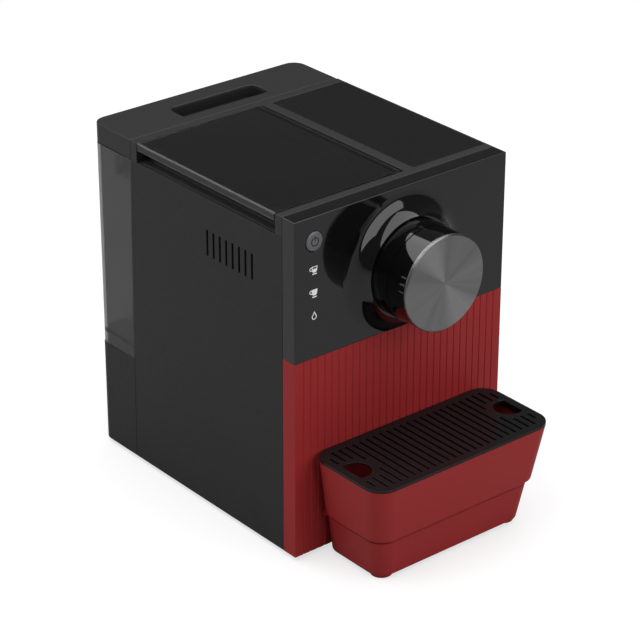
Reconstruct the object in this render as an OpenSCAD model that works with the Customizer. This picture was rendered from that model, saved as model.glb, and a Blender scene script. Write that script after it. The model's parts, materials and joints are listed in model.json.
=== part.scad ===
// Compact bean-to-cup espresso machine, in separate pieces.
// Millimetres, +Z up, front towards -Y; origin under the middle of the machine.

/* [Body] */
// Width over the side panels
body_w = 180; // [172:1:220]
// Height of the housing above its floor
body_h = 242.7; // [236:0.1:300]
// Depth from the front panel to the back of the tank dock
body_d = 218.8; // [210:0.1:264]
// Thickness of the housing shells
wall = 2.5; // [2:0.1:3]
// Height of the rubber feet
foot_h = 3; // [2:0.5:6]
// Radius of a rubber foot
foot_r = 8; // [6:0.5:10]

/* [Front] */
// Depth of the red panel and the fascia at the sides
front_d = 12.3; // [11.5:0.1:15]
// Height of the ribbed red panel
red_h = 143.4; // [138:0.1:152]
// Distance between the grooves of the red panel
rib_pitch = 5.9; // [5:0.1:8]
// Width of a groove
rib_w = 1.1; // [0.8:0.1:1.6]
// Depth of a groove
rib_deep = 0.6; // [0.3:0.1:1]

/* [Brewing head] */
// Height of the head's axis
head_z = 189.3; // [186:0.1:195]
// Radius of the turning cap
cap_r = 33.2; // [30:0.1:36]
// How far the cap's face stands in front of the fascia
cap_reach = 41.5; // [38:0.1:50]
// Length of the turning cap with its disc
cap_len = 18.2; // [16:0.1:20]
// Thickness of the steel disc
disc_t = 2.3; // [1.5:0.1:3]
// Radius of the collar where it meets the fascia
collar_r = 50; // [46:0.5:52]
// Length of the collar
collar_len = 9.7; // [8:0.1:12]
// Gap between the cap and the fixed barrel
cap_gap = 0.3; // [0.2:0.1:0.5]
// Bore of the coffee outlet
outlet_r = 2; // [1.5:0.1:2.5]

/* [Controls] */
// Distance of the buttons from the left side
button_in = 16; // [14:0.5:20]
// Height of the power button below the top
button_down = 16.8; // [14:0.1:20]
// Radius of the power button
button_r = 6.6; // [5:0.1:7]
// Gap round the power button
button_gap = 0.3; // [0.2:0.1:0.5]
// Travel of the power button
button_travel = 1; // [0.5:0.1:1.5]
// Distance between the touch symbols
icon_pitch = 16.1; // [14:0.1:18]

/* [Top] */
// Depth of the top frame
frame_h = 14.1; // [12.5:0.1:16]
// Width of the frame's front and rear bars
bar_w = 7; // [6:0.1:9]
// Place of the hopper lid's right edge
split_x = 17.5; // [14:0.5:22]
// Width of the bar between the lid and the right panel
mid_bar = 7.7; // [6:0.1:10]
// Thickness of the hopper lid at its rim
lid_t = 5.5; // [5:0.1:7]
// Thickness of the hopper lid's top
lid_skin = 2; // [1.5:0.1:3]
// Gap round the hopper lid
lid_gap = 0.4; // [0.3:0.1:0.6]
// Radius of the lid's hinge pins
lid_pin_r = 1.3; // [1:0.1:1.6]

/* [Water tank] */
// Height of the dock that the tank stands on
dock_h = 76.7; // [74:0.1:84]
// Wall of the tank
tank_wall = 2.4; // [2:0.1:3]
// Gap between the tank and the housing
tank_gap = 0.4; // [0.3:0.1:0.8]
// Height of the skirt under the tank's floor
tank_skirt = 8.3; // [7:0.1:10]
// Height of the tank lid
tank_lid_h = 14.4; // [12:0.1:17]
// How far the tank lid overhangs the tank's back
tank_lid_over = 0.5; // [0.3:0.1:6]
// Width of the lid's handle slot
grip_w = 74; // [60:1:90]
// Radius of the tank's and the dock's rear corners
rear_r = 9; // [5:0.5:12]

/* [Drip tray] */
// Width of the grille
tray_w = 154.8; // [140:0.2:165]
// Reach of the grille in front of the red panel
tray_reach = 68.7; // [62:0.1:80]
// Height of the grille's top above the housing floor
tray_z = 73.9; // [71:0.1:80]
// Thickness of the grille
grille_t = 1.7; // [1.5:0.1:2.5]
// Corner radius of the grille
tray_r = 14; // [10:0.5:16]
// Inward lean of the tray's sides over its height
tray_lean = 5.9; // [3:0.1:8]
// Height of the fixed plinth under the tray
plinth_h = 27.3; // [26:0.1:30]
// Step between the tray and the plinth
plinth_step = 3.1; // [2:0.1:5]
// Gap under the sliding tray
tray_gap = 0.4; // [0.3:0.1:1]
// Wall of the tray
tray_wall = 2.2; // [1.8:0.1:3]
// Width of a grille slot
slot_w = 1.7; // [1.2:0.1:2.2]
// Width of the drawer behind the tray
drawer_w = 122; // [110:1:128]
// Length of the drawer inside the housing
drawer_len = 90; // [80:1:92]

/* [Grinder and brewing] */
// Place of the grinder across the machine
grinder_x = -38; // [-42:1:-35]
// Place of the grinder behind the front
grinder_y = 93; // [88:1:98]
// Outer radius of the grinder housing
grinder_r = 29; // [27:0.5:31]
// Place of the brewing axis across the machine
brew_x = 46; // [45:0.5:47]
// Place of the brewing axis behind the front
brew_y = 80; // [78:0.5:82]
// Inner radius of the brewing chamber
chamber_r = 16; // [14:0.5:17]
// Wall of the brewing chamber
chamber_wall = 4; // [3:0.5:4]
// Lift of the brewing chamber
chamber_lift = 30; // [24:1:32]
// Teeth of the motor pinion
pinion_teeth = 14; // [12:1:14]
// Teeth of the screw gear
gear_teeth = 36; // [34:1:36]
// Radius of the lead screw
screw_r = 4; // [3:0.5:4.5]
// Running clearance of shafts, on the radius
run_gap = 0.05; // [0.02:0.01:0.1]

/* [Hidden] */

$fn = 96;

// Shared places, measured from the front panel's face and the housing's floor
hw = body_w / 2;
in_w = hw - wall;
seam_lean = 4.3 / 228.4;
seam_y0 = body_d - 41;
frame_z = body_h - frame_h;
top_back = seam(frame_z);
lid_back = body_d + tank_lid_over;
mid_y = (lid_back - tray_reach) / 2;
button_x = button_in - hw;
button_z = body_h - button_down;
icon_z = button_z - 19.9;
boss_z = [icon_z - 38, button_z - 10];
hole_y0 = front_d + bar_w;
hole_y1 = top_back - bar_w;
lid_top = body_h + 0.4;
hinge_r = lid_t / 2;
hinge_x = split_x - lid_gap - hinge_r;
hinge_z = lid_top - hinge_r;
barrel_r = cap_r + 0.5;
barrel_in = barrel_r - 4;
cap_y0 = -cap_reach;
cap_y1 = cap_y0 + cap_len;
flare_r = collar_r - barrel_r;
flare_end = asin(1 - collar_len / flare_r);
spigot_len = 9;
spigot_gap = 0.4;
brew_z = tray_z + 7;
brew_floor = brew_z + 4;
hopper_z0 = brew_floor + 114;
grinder_z0 = hopper_z0 - 50;
grinder_z1 = hopper_z0 - 2;
motor_z0 = grinder_z0 - 68;
shaft_r = 4;
pinion_shaft_r = 2.5;
pinion_motor_h = 40;
chamber_z = brew_floor + 12;
chamber_h = 44;
brew_top = brew_floor + 102;
piston_z = chamber_z + chamber_h + 10;
screw_y = brew_y + 32;
gear_r = gear_teeth / 2;
pinion_r = pinion_teeth / 2;
pinion_x = brew_x + gear_r + pinion_r;
gear_z = brew_z - 9;
gear_h = 7;
tank_z = dock_h;
tank_top = body_h - tank_lid_h;
tank_floor = tank_z + tank_skirt;
valve_x = 30 - hw;
valve_y = body_d - 23;
valve_r = 9.5;
meter_y = valve_y - 46;
pump_y = meter_y - 2;
pump_z = 27;
pump_r = 15;
pump_x = [22, 74];
boiler_x = [14, 78];
boiler_z = [6, 70];
hose_r = 3;
thin_hose_r = 2.2;
inlet_w = 14;
inlet_h = 12;
inlet_deep = 16;
stud_y = body_d - 29.6;
spout_y = 7.7 - cap_reach;
spout_r = 3.5;
grip_deep = 9;
socket_deep = 16;
panel_deep = 2.4;
plate_x = [2, 5];
vent_n = 8;
vent_pitch = 6.7;
vent_w = 2;
vent_h = 17;
vent_y = 90;
vent_top = body_h - 36;
lug = 8;
screw_head_r = 3;
foot_pin_r = 2.9;
burr_r = 21;
bean_mouth_r = 17;
grinder_motor_r = 22;
brew_motor_r = 13.5;
tick_w = 0.9;
hinge_pin_l = 8;
plinth_w = tray_w - 2 * tray_lean - 2 * plinth_step;
plinth_reach = tray_reach - tray_lean - plinth_step;
tray_z0 = plinth_h + tray_gap;
drawer_z = tray_z0 + 1;
neck_top = tray_z - 6;
bin_top = neck_top - 1.5;
inlet_z = 40;
inlet_x = hw - 40;

function seam(z) = seam_y0 - seam_lean * z;

// Helpers
module place() translate([0, -mid_y, foot_h]) children();

module block(x0, x1, y0, y1, z0, z1)
    translate([x0, y0, z0]) cube([x1 - x0, y1 - y0, z1 - z0]);

module zcyl(x, y, z0, z1, r, r2 = -1)
    translate([x, y, z0]) cylinder(h = z1 - z0, r1 = r, r2 = r2 < 0 ? r : r2);

module ycyl(x, z, y0, y1, r)
    translate([x, y1, z]) rotate([90, 0, 0]) cylinder(h = y1 - y0, r = r);

module xcyl(y, z, x0, x1, r)
    translate([x0, y, z]) rotate([0, 90, 0]) cylinder(h = x1 - x0, r = r);

// Extrudes a drawing of x and z along y
module along_y(y0, y1)
    translate([0, y1, 0]) rotate([90, 0, 0]) linear_extrude(y1 - y0) children();

// Extrudes a drawing of y and z along x
module along_x(x0, x1)
    translate([x0, 0, 0]) rotate([90, 0, 90]) linear_extrude(x1 - x0) children();

// Turns a profile of radius and height about an axis along y; its height runs towards the back
module around_y(x, z)
    translate([x, 0, z]) rotate([-90, 0, 0]) rotate_extrude() children();

module round_box(x0, x1, y0, y1, r) {
    translate([x0 + r, y0]) square([x1 - x0 - 2 * r, y1 - y0]);
    translate([x0, y0 + r]) square([x1 - x0, y1 - y0 - 2 * r]);
    for (x = [x0 + r, x1 - r], y = [y0 + r, y1 - r]) translate([x, y]) circle(r);
}

// Outline with two square front corners and two round rear corners
module rear_round(half, y0, y1, r) {
    translate([-half, y0]) square([2 * half, y1 - y0 - r]);
    translate([r - half, y0]) square([2 * (half - r), y1 - y0]);
    for (s = [-1, 1]) translate([s * (half - r), y1 - r]) circle(r);
}

// A straight-sided tub that narrows downwards at its front and sides
module tub(half, reach, lean, r, back, z0, z1)
    hull() {
        translate([0, 0, z1 - 0.1]) linear_extrude(0.1)
            round_box(-half, half, -reach, back, r, $fn = 48);
        translate([0, 0, z0]) linear_extrude(0.1)
            round_box(lean - half, half - lean, lean - reach, back, r, $fn = 48);
    }

// A run of round tube through a list of points
module tube_run(points, r)
    for (i = [0 : len(points) - 2]) {
        d = points[i + 1] - points[i];
        long = norm(d);
        translate(points[i])
            rotate([0, acos(d[2] / long), atan2(d[1], d[0])]) cylinder(h = long, r = r);
        if (i > 0) translate(points[i]) sphere(r + 0.3);
    }

// Spur gear with straight-flanked teeth and room between them
module gear(teeth, h) {
    r = teeth / 2;
    step = 360 / teeth;
    linear_extrude(h) polygon([for (i = [0 : teeth - 1]) each [
        for (p = [[-0.30, -1.15], [-0.12, 0.85], [0.12, 0.85], [0.30, -1.15]])
            (r + p[1]) * [cos((i + p[0]) * step), sin((i + p[0]) * step)]]]);
}

module side_outline() {
    polygon([[front_d, 0], [seam(0), 0], [seam(frame_z), frame_z], [front_d, frame_z]]);
}

module vents() {
    for (k = [0 : vent_n - 1]) translate([vent_y - vent_pitch * k, vent_top - vent_w / 2]) {
        translate([-vent_w / 2, -vent_h]) square([vent_w, vent_h]);
        for (z = [-vent_h, 0]) translate([0, z]) circle(vent_w / 2, $fn = 24);
    }
}

module side_panel(s) {
    x0 = s < 0 ? -hw : in_w;
    difference() {
        union() {
            along_x(x0, x0 + wall) side_outline();
            for (y = screw_ys()) block(min(s * in_w, s * (in_w - lug)), max(s * in_w, s * (in_w - lug)),
                y - lug / 2, y + lug / 2, wall, wall + 9);
        }
        along_x(x0 - 1, x0 + wall + 1) vents();
        for (y = screw_ys()) zcyl(s * (in_w - lug / 2), y, wall - 1, wall + 8, 1.5 + run_gap);
    }
}

function screw_ys() = [30, body_d - 65];
function foot_places() = [for (s = [-1, 1]) each [[s * (hw - 18), 26], [s * (hw - 18), body_d - 14],
    [s * (plinth_w / 2 - 14), 14 - plinth_reach]]];

// Housing
module base_plate() color("#2b2b2b") place() difference() {
    block(-in_w, in_w, wall, seam(wall), 0, wall);
    for (p = foot_places()) if (p[1] > 0 && p[1] < seam(0)) foot_hole(p);
    for (s = [-1, 1], y = screw_ys()) {
        zcyl(s * (in_w - lug / 2), y, -1, wall + 1, 1.7);
        zcyl(s * (in_w - lug / 2), y, -1, 1.2, screw_head_r + 0.2);
    }
}

module foot_hole(p) zcyl(p[0], p[1], -1, wall + 1, foot_pin_r + 0.1);

module rubber_feet() color("#1c1c1c") place() for (p = foot_places()) {
    zcyl(p[0], p[1], -foot_h, 0, foot_r - 0.6, foot_r);
    zcyl(p[0], p[1], -0.01, wall, foot_pin_r);
}

module side_panel_left() color("#2e2e2e") place() side_panel(-1);

module side_panel_right() color("#2e2e2e") place() side_panel(1);

module front_panel() color("#8a2a2a") place() difference() {
    grooves = floor((hw - 2) / rib_pitch);
    linear_extrude(red_h) polygon(concat(
        [[-hw, front_d], [-hw, 0]],
        [for (k = [-grooves : grooves]) each [[k * rib_pitch - rib_w / 2, 0],
            [k * rib_pitch, rib_deep], [k * rib_pitch + rib_w / 2, 0]]],
        [[hw, 0], [hw, front_d], [in_w, front_d], [in_w, wall], [-in_w, wall], [-in_w, front_d]]));
    block(-drawer_w / 2 - 1, drawer_w / 2 + 1, -1, wall + 1, plinth_h + 0.2, neck_top);
}

module tray_plinth() color("#8a2a2a") place() difference() {
    tub(plinth_w / 2, plinth_reach, 4, tray_r - 2, 0, 0, plinth_h);
    tub(plinth_w / 2 - wall - 0.4, plinth_reach - wall - 0.4, 3.4, tray_r - 4, -wall, wall,
        plinth_h - wall);
    for (p = foot_places()) if (p[1] < 0) foot_hole(p);
}

module fascia() color("#262626") place() difference() {
    union() {
        difference() {
            block(-hw, hw, 0, front_d, red_h, body_h);
            block(-in_w, in_w, wall, front_d + 1, red_h + wall, body_h - wall);
        }
        for (z = boss_z) ycyl(button_x - 6, z, wall, wall + 6.5, 2.4);
    }
    ycyl(0, head_z, -1, wall + 1, barrel_in);
    ycyl(button_x, button_z, -1, wall + 1, button_r + button_gap);
}

module top_frame() color("#3a3a3a") place() difference() {
    along_x(-hw, hw) polygon([[front_d, frame_z], [seam(frame_z), frame_z],
        [seam(body_h), body_h], [front_d, body_h]]);
    block(-hw - 1, split_x, hole_y0, hole_y1, frame_z - 1, body_h + 1);
    block(split_x + mid_bar, hw - 1.2, hole_y0, hole_y1, body_h - panel_deep, body_h + 1);
    block(split_x + mid_bar + 3, hw - 4.2, hole_y0 + 3, hole_y1 - 3, frame_z - 1, body_h);
    ycyl(hinge_x, hinge_z, hole_y0 - 4, hole_y1 + 4, lid_pin_r);
}

module top_panel_right() color("#232323") place()
    block(split_x + mid_bar + 0.2, hw - 1.4, hole_y0 + 0.2, hole_y1 - 0.2, body_h - panel_deep, body_h - 0.2);

module rear_panel() color("#2b2b2b") place() along_x(-in_w, in_w)
    polygon([[seam(dock_h), dock_h], [seam(frame_z), frame_z],
        [seam(frame_z) - wall, frame_z], [seam(dock_h) - wall, dock_h]]);

module tank_dock() color("#2e2e2e") place() difference() {
    intersection() {
        along_x(-hw, hw) polygon([[seam(0), 0], [body_d, 0], [body_d, dock_h], [seam(dock_h), dock_h]]);
        linear_extrude(dock_h) rear_round(hw, seam(dock_h) - 1, body_d, rear_r);
    }
    translate([0, 0, wall]) linear_extrude(dock_h - 2 * wall)
        rear_round(in_w, seam(dock_h) - 5, body_d - wall, rear_r - wall);
    for (p = foot_places()) if (p[1] > seam(0)) foot_hole(p);
    zcyl(valve_x, valve_y, dock_h - wall - 1, dock_h + 1, valve_r);
    inlet_block(inlet_w + 0.2, inlet_h + 0.2, body_d - wall - 1, body_d + 1);
}

// A block of half the width w and half the height h round the inlet's middle
module inlet_block(w, h, y0, y1) block(inlet_x - w, inlet_x + w, y0, y1, inlet_z - h, inlet_z + h);

module tank_socket() color("#1f1f1f") place() difference() {
    zcyl(valve_x, valve_y, dock_h - socket_deep, dock_h, valve_r);
    zcyl(valve_x, valve_y, dock_h - 12, dock_h + 1, 7.2);
    zcyl(valve_x, valve_y, dock_h - socket_deep - 1, dock_h, 2.5);
}

module power_inlet() color("#161616") place() difference() {
    union() {
        inlet_block(inlet_w, inlet_h, body_d - 20, body_d);
        inlet_block(inlet_w + 2, inlet_h + 2, body_d, body_d + 0.4);
    }
    inlet_block(inlet_w - 2, inlet_h - 4, body_d - inlet_deep, body_d + 3);
}

module inlet_pins() color("#b9b9b9") place() for (p = [[-7, -2], [0, 2], [7, -2]])
    translate([p[0], 0, p[1]]) inlet_block(1, 2, body_d - inlet_deep, body_d - 5);

module mid_plate() color("#454545") place() difference() {
    back = pump_y + 12;
    along_x(plate_x[0], plate_x[1]) difference() {
        polygon([[front_d, neck_top + 2], [drawer_len + 6, neck_top + 2], [drawer_len + 6, wall],
            [back, wall], [back, hopper_z0], [front_d, hopper_z0]]);
        translate([20, brew_floor + 40]) square([50, 12]);
    }
    x0 = plate_x[0] - 1;
    x1 = plate_x[1] + 1;
    block(x0, x1, grinder_y - 12, grinder_y + 12, chamber_z + chamber_h - 2, grinder_z0 + 26);
    xcyl(pump_y, pump_z, x0, x1, pump_r + 3.5);
    block(x0, x1, meter_y - 10, back + 1, 60, 92);
    block(x0, x1, front_d - 1, 40, head_z - 25, head_z + 25);
}

module drawer_guides() color("#3c3c3c") place() for (s = [-1, 1]) scale([s, 1, 1]) {
    block(drawer_w / 2 + 0.6, drawer_w / 2 + 3, wall, drawer_len + 4, wall, drawer_z + 4);
    block(drawer_w / 2 - 6, drawer_w / 2 + 0.6, wall, drawer_len + 4, drawer_z - 4, drawer_z - 0.3);
}

module case_screws() color("#8e8e8e") place() for (s = [-1, 1], y = screw_ys()) {
    zcyl(s * (in_w - lug / 2), y, 0.2, 1.2, screw_head_r);
    zcyl(s * (in_w - lug / 2), y, 1.19, wall + 7, 1.5);
}

// Brewing head
module head_collar() color("#171717") place() intersection() {
    around_y(0, head_z) polygon(concat([[barrel_in, 0], [collar_r, 0]],
        [for (k = [1 : 8]) flare(84 + (flare_end - 84) * k / 8)], [[barrel_in, -collar_len]]));
    block(-collar_r, collar_r, -collar_len, 1, red_h, body_h);
}

// A point of the hollow round that leads from the fascia to the barrel
function flare(a) = [collar_r - flare_r * cos(a), flare_r * (sin(a) - 1)];

module head_barrel() color("#0f0f0f") place() around_y(0, head_z) {
    first = flare(flare_end);
    polygon(concat([[barrel_in, -collar_len], [first[0] - 0.7, -collar_len],
        [first[0] - 0.7, -collar_len - 0.4]],
        [for (k = [1 : 4]) flare(flare_end * (1 - k / 4) - 0.001)],
        [[barrel_r, cap_y1 + cap_gap], [barrel_in, cap_y1 + cap_gap]]));
}

module cap_shell() color("#141414") place() difference() {
    around_y(0, head_z) polygon([[0, cap_y0 + disc_t], [cap_r, cap_y0 + disc_t], [cap_r, cap_y1],
        [barrel_in - spigot_gap, cap_y1], [barrel_in - spigot_gap, cap_y1 + spigot_len],
        [barrel_in - 3, cap_y1 + spigot_len], [barrel_in - 3, cap_y0 + disc_t + 2],
        [0, cap_y0 + disc_t + 2]]);
    zcyl(0, spout_y, head_z - cap_r - 1, head_z - barrel_in + 8, spout_r);
}

module cap_disc() color("#8c8c8c") place() around_y(0, head_z)
    polygon([[0, cap_y0], [cap_r - 0.7, cap_y0], [cap_r, cap_y0 + 0.7], [cap_r, cap_y0 + disc_t],
        [0, cap_y0 + disc_t]]);

module cap_ticks() color("#e6e6e6") place() intersection() {
    around_y(0, head_z) translate([cap_r, cap_y0 + disc_t + 0.4]) square([0.25, 4.2]);
    for (a = [4, 12.5, 21]) translate([0, 0, head_z]) rotate([0, a, 0])
        block(-cap_r - 2, -cap_r + 8, cap_y0, cap_y1, -tick_w / 2, tick_w / 2);
}

module coffee_spout() color("#222222") place() difference() {
    zcyl(0, spout_y, head_z - cap_r - 2.6, head_z - barrel_in + 4, spout_r);
    zcyl(0, spout_y, head_z - cap_r - 4, head_z - barrel_in + 5, outlet_r);
}

// Controls
module power_button() color("#6e6e6e") place() {
    ycyl(button_x, button_z, -0.8, wall + 1, button_r);
    ycyl(button_x, button_z, wall + 0.3, wall + 1.8, button_r + 1.4);
}

module power_symbol() color("#2a2a2a") place() translate([button_x, -0.8, button_z]) rotate([90, 0, 0])
    linear_extrude(0.15) {
        difference() {
            circle(3.1, $fn = 48);
            circle(2.5, $fn = 48);
            translate([-0.9, 0]) square([1.8, 4]);
        }
        translate([-0.3, 0.6]) square([0.6, 3.2]);
    }

module button_spring() color("#b0b0b0") place() difference() {
    ycyl(button_x, button_z, wall + 1.8, wall + 6.5, 5);
    ycyl(button_x, button_z, wall + 1, wall + 7, 4.2);
}

// A cup symbol, half or wholly filled
module cup_symbol(full) {
    difference() {
        union() {
            polygon([[-2.2, 2.6], [2.6, 2.6], [2.2, -0.6], [1.2, -1.6], [-0.8, -1.6], [-1.8, -0.6]]);
            difference() {
                translate([-2.6, 1]) circle(1.35, $fn = 32);
                translate([-2.6, 1]) circle(0.8, $fn = 32);
            }
        }
        if (!full) polygon([[-1.6, 2.1], [2, 2.1], [1.85, 0.9], [-1.45, 0.9]]);
    }
    translate([-1.6, -3]) square([3.6, 0.7]);
}

module touch_icons() color("#f2f2f2") place() translate([button_x, 0, icon_z]) rotate([90, 0, 0])
    linear_extrude(0.15) {
        cup_symbol(false);
        translate([0, -icon_pitch]) cup_symbol(true);
        translate([0, -2 * icon_pitch - 0.6]) difference() {
            union() {
                circle(2, $fn = 48);
                polygon([[-1.75, 0.95], [0, 4], [1.75, 0.95]]);
            }
            union() {
                circle(1.35, $fn = 48);
                polygon([[-1.1, 0.75], [0, 2.7], [1.1, 0.75]]);
            }
        }
    }

module touch_board() color("#1d4d2b") place()
    block(button_x - 10, button_x + 10, wall + 6.5, wall + 8, icon_z - 44, button_z + 8);

// Bean hopper and lid
module hopper_lid() color("#4a4a4a", 0.5) place() difference() {
    union() {
        block(-hw, hinge_x, hole_y0 + lid_gap, hole_y1 - lid_gap, lid_top - lid_t, lid_top);
        ycyl(hinge_x, hinge_z, hole_y0 + lid_gap, hole_y1 - lid_gap, hinge_r);
    }
    block(-hw + 2, hinge_x - hinge_r - 1, hole_y0 + lid_gap + 2, hole_y1 - lid_gap - 2,
        lid_top - lid_t - 1, lid_top - lid_skin);
    ycyl(hinge_x, hinge_z, hole_y0 - 1, hole_y1 + 1, lid_pin_r + run_gap);
}

module lid_hinge_pins() color("#c0c0c0") place() {
    ycyl(hinge_x, hinge_z, hole_y0 - 4, hole_y0 + hinge_pin_l, lid_pin_r);
    ycyl(hinge_x, hinge_z, hole_y1 - hinge_pin_l, hole_y1 + 4, lid_pin_r);
}

module bean_hopper() color("#2f2f2f") place() difference() {
    union() {
        block(-in_w, split_x + 4, front_d, top_back - wall - 1, frame_z - 2.4, frame_z);
        block(-hw + 9, split_x - 6, hole_y0 + 4, hole_y1 - 4, hopper_z0, lid_top - lid_t - 0.6);
    }
    hull() {
        block(-hw + 11, split_x - 8, hole_y0 + 6, hole_y1 - 6, frame_z, body_h + 1);
        zcyl(grinder_x, grinder_y, hopper_z0 + 4, hopper_z0 + 5, bean_mouth_r + 1, $fn = 32);
    }
    zcyl(grinder_x, grinder_y, hopper_z0 - 1, hopper_z0 + 5, bean_mouth_r);
    zcyl(dial_x(), dial_y(), hopper_z0 - 1, body_h, 3 + run_gap);
}

module hopper_seal() color("#303030") place() difference() {
    zcyl(grinder_x, grinder_y, grinder_z1, hopper_z0, bean_mouth_r + 6);
    zcyl(grinder_x, grinder_y, grinder_z1 - 1, hopper_z0 + 1, bean_mouth_r);
}

function dial_x() = -hw + 18;
function dial_y() = hole_y0 + 14;

module grind_dial() color("#555555") place() {
    zcyl(dial_x(), dial_y(), hopper_z0 - 6, frame_z + 1, 3);
    zcyl(dial_x(), dial_y(), frame_z + 0.99, frame_z + 6, 6);
}

// Grinder
module grinder_body() color("#3b3b3b") place() difference() {
    union() {
        zcyl(grinder_x, grinder_y, grinder_z0, grinder_z1, grinder_r);
        block(grinder_x, grinder_x + grinder_r + 4, grinder_y - 11, grinder_y + 11, grinder_z0,
            grinder_z0 + 24);
        block(grinder_x + 12, 2, grinder_y - 24, grinder_y - 14, grinder_z0 + 30, grinder_z1 - 4);
    }
    zcyl(grinder_x, grinder_y, grinder_z0 + 4, grinder_z1 - 15, grinder_r - 6);
    zcyl(grinder_x, grinder_y, grinder_z1 - 16, grinder_z1 + 1, grinder_r - 4);
    zcyl(grinder_x, grinder_y, grinder_z0 - 1, grinder_z0 + 5, shaft_r + run_gap);
    block(grinder_x, grinder_x + grinder_r + 5, grinder_y - 8, grinder_y + 8, grinder_z0 + 4,
        grinder_z0 + 21);
}

module upper_burr() color("#9a9a9a") place() difference() {
    zcyl(grinder_x, grinder_y, grinder_z1 - 16, grinder_z1 - 2, grinder_r - 4.1);
    zcyl(grinder_x, grinder_y, grinder_z1 - 16.01, grinder_z1 - 1.99, 20, 14.5);
}

module lower_burr() color("#a8a8a8") place() difference() {
    union() {
        zcyl(grinder_x, grinder_y, grinder_z1 - 22, grinder_z1 - 2, burr_r, 13.2);
        for (a = [0 : 45 : 315]) translate([grinder_x, grinder_y, grinder_z1 - 24]) rotate(a)
            translate([0, -1.5, 0]) cube([burr_r - 1, 3, 2.1]);
    }
    zcyl(grinder_x, grinder_y, grinder_z1 - 25, grinder_z1 - 1, shaft_r);
}

module grinder_shaft() color("#bdbdbd") place()
    zcyl(grinder_x, grinder_y, grinder_z0 - 30, grinder_z1 - 2, shaft_r);

module grinder_motor() color("#6a6a6a") place() difference() {
    union() {
        zcyl(grinder_x, grinder_y, motor_z0, grinder_z0 - 3, grinder_motor_r);
        zcyl(grinder_x, grinder_y, grinder_z0 - 3, grinder_z0, 12);
    }
    zcyl(grinder_x, grinder_y, grinder_z0 - 31, grinder_z0 + 1, shaft_r + run_gap);
}

module grounds_chute() color("#2c2c2c") place() {
    x0 = grinder_x + grinder_r + 4;
    x1 = brew_x - chamber_r - chamber_wall - 0.8;
    za = grinder_z0 + 1;
    zb = chamber_z + chamber_h + 1;
    along_y(grinder_y - 10, grinder_y + 10)
        polygon([[x0, za], [x1, zb], [x1, zb + 2], [x0, za + 3]]);
    for (y = [grinder_y - 10, grinder_y + 8]) along_y(y, y + 2)
        polygon([[x0, za], [x1, zb], [x1, zb + 9], [x0, za + 20]]);
}

// Brewing unit
module brew_frame() color("#4a4a4a") place() difference() {
    union() {
        block(5, pinion_x + 14, brew_y - 26, screw_y + 19, brew_z, brew_floor);
        block(5, pinion_x + 6, brew_y - 22, screw_y + 19, brew_top, brew_top + 4);
        block(5, pinion_x + 6, screw_y + 15, screw_y + 19, brew_floor, brew_top);
    }
    zcyl(brew_x, screw_y, brew_z - 1, brew_top + 5, screw_r + run_gap);
    zcyl(pinion_x, screw_y, brew_z - 1, brew_floor + 1, pinion_shaft_r + run_gap);
    zcyl(brew_x, brew_y, brew_top - 1, brew_top + 5, 3);
}

module brew_chamber() color("#c9c2ae") place() difference() {
    union() {
        zcyl(brew_x, brew_y, chamber_z, chamber_z + chamber_h, chamber_r + chamber_wall);
        block(brew_x - 6, brew_x + 6, brew_y + chamber_r + 1, screw_y - 5, chamber_z + 8, chamber_z + 20);
        zcyl(brew_x, screw_y, chamber_z + 8, chamber_z + 20, 9);
    }
    zcyl(brew_x, brew_y, chamber_z - 1, chamber_z + chamber_h + 1, chamber_r);
    zcyl(brew_x, screw_y, chamber_z + 7, chamber_z + 21, screw_r + run_gap);
}

module lower_piston() color("#8f8f8f") place() {
    head = chamber_z + chamber_lift + 3;
    zcyl(brew_x, brew_y, brew_floor, head + 0.5, 5);
    zcyl(brew_x, brew_y, head, head + 6, chamber_r - 0.3);
}

module upper_piston() color("#8f8f8f") place() difference() {
    zcyl(brew_x, brew_y, piston_z, brew_top, chamber_r - 0.4);
    translate([brew_x, brew_y, piston_z + 4]) rotate_extrude() translate([chamber_r - 3.1, 0])
        square([4, 2.8]);
    zcyl(brew_x, brew_y, piston_z - 1, brew_top + 1, 3);
}

module piston_seal() color("#7a2d22") place()
    translate([brew_x, brew_y, piston_z + 5.4]) rotate_extrude() translate([chamber_r - 1.7, 0])
        circle(1.4, $fn = 32);

module lead_screw() color("#b5b5b5") place()
    zcyl(brew_x, screw_y, gear_z - 1, brew_top + 3, screw_r);

module screw_gear() color("#e0dcc8") place() difference() {
    translate([brew_x, screw_y, gear_z]) gear(gear_teeth, gear_h);
    zcyl(brew_x, screw_y, gear_z - 1, gear_z + gear_h + 1, screw_r);
}

module motor_pinion() color("#d8b35a") place() {
    translate([pinion_x, screw_y, gear_z]) rotate(180 + 180 / pinion_teeth) gear(pinion_teeth, gear_h);
    zcyl(pinion_x, screw_y, gear_z + gear_h - 0.01, brew_floor + 22, pinion_shaft_r);
}

module brew_motor() color("#5d5d5d") place() difference() {
    zcyl(pinion_x, screw_y, brew_floor, brew_floor + pinion_motor_h, brew_motor_r);
    zcyl(pinion_x, screw_y, brew_floor - 1, brew_floor + 23, pinion_shaft_r + run_gap);
}

module thermoblock() color("#a9adb0") place() {
    y0 = screw_y + 19;
    block(boiler_x[0], boiler_x[1], y0 + 5, y0 + 33, brew_floor + boiler_z[0], brew_floor + boiler_z[1]);
    for (x = [boiler_x[0] + 8, boiler_x[1] - 8], z = [boiler_z[0] + 8, boiler_z[1] - 8])
        ycyl(x, brew_floor + z, y0, y0 + 5.01, 4);
}

// Water side
module pump() color("#777777") place() {
    xcyl(pump_y, pump_z, pump_x[0], pump_x[1], pump_r);
    xcyl(pump_y, pump_z, pump_x[0] - 10, pump_x[0] + 0.01, 5);
    xcyl(pump_y, pump_z, pump_x[1] - 0.01, pump_x[1] + 6, 4);
}

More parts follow.
